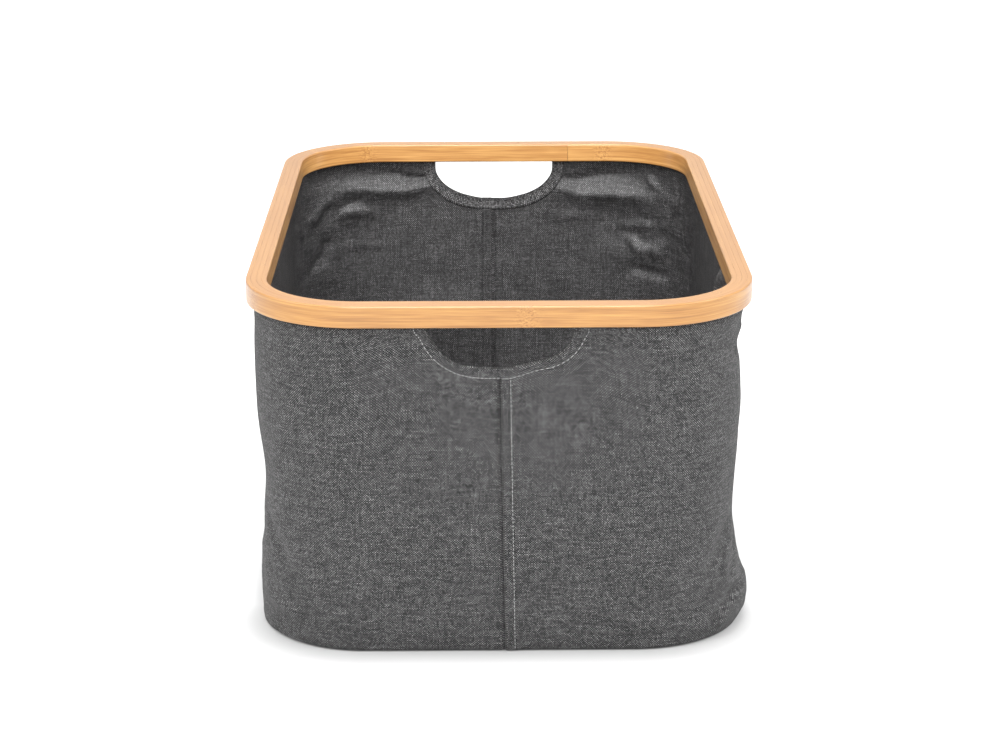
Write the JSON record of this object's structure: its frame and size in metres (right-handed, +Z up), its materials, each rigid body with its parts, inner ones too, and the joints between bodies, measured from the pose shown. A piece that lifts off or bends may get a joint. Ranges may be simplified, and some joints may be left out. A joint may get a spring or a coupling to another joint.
{
  "type": "laundry basket",
  "caption": "Open rectangular laundry basket: soft canvas walls with a hand hole at each end, hung from a bent bamboo rim that presses down for storage.",
  "frame": {"origin": "on the floor, midway between the two long sides and the two ends", "axes": "+X to the right across the basket, +Y along it to the back end, +Z up"},
  "size_m": [0.38, 0.58, 0.27],
  "materials": {
    "bamboo": "satin lacquer over laminated bamboo, fine lengthwise grain",
    "canvas": "heathered dark grey plain weave, coated inside",
    "tape": "bias-cut strip of the same canvas",
    "thread": "light grey twisted sewing thread",
    "board": "black fibreboard-like sheet, matt",
    "batten": "raw split bamboo",
    "staple_wire": "galvanised wire"
  },
  "bodies": {
    "bag": {"wall_left": "canvas", "wall_right": "canvas", "handhold_facing_front": "tape", "handhold_facing_back": "tape", "handhold_thread_front": "thread", "handhold_thread_back": "thread", "seam_thread_front": "thread", "seam_thread_back": "thread", "bottom_panel": "canvas", "base_board": "board", "bottom_lining": "canvas", "bottom_binding": "tape", "bottom_thread": "thread"},
    "rim": {"rim_outer_ply": "bamboo", "rim_outer_core": "bamboo", "rim_inner_core": "bamboo", "rim_inner_ply": "bamboo", "hem_left": "canvas", "hem_right": "canvas", "hem_batten_left": "batten", "hem_batten_right": "batten", "hem_staples": "staple_wire"}
  },
  "joints": [
    {"name": "rim_drop", "type": "slide", "parent": "bag", "child": "rim", "axis": [0, 0, 1], "range_m": [-0.2, 0], "deforming": ["wall_left", "wall_right", "handhold_facing_front", "handhold_facing_back", "handhold_thread_front", "handhold_thread_back", "seam_thread_front", "seam_thread_back"]}
  ]
}
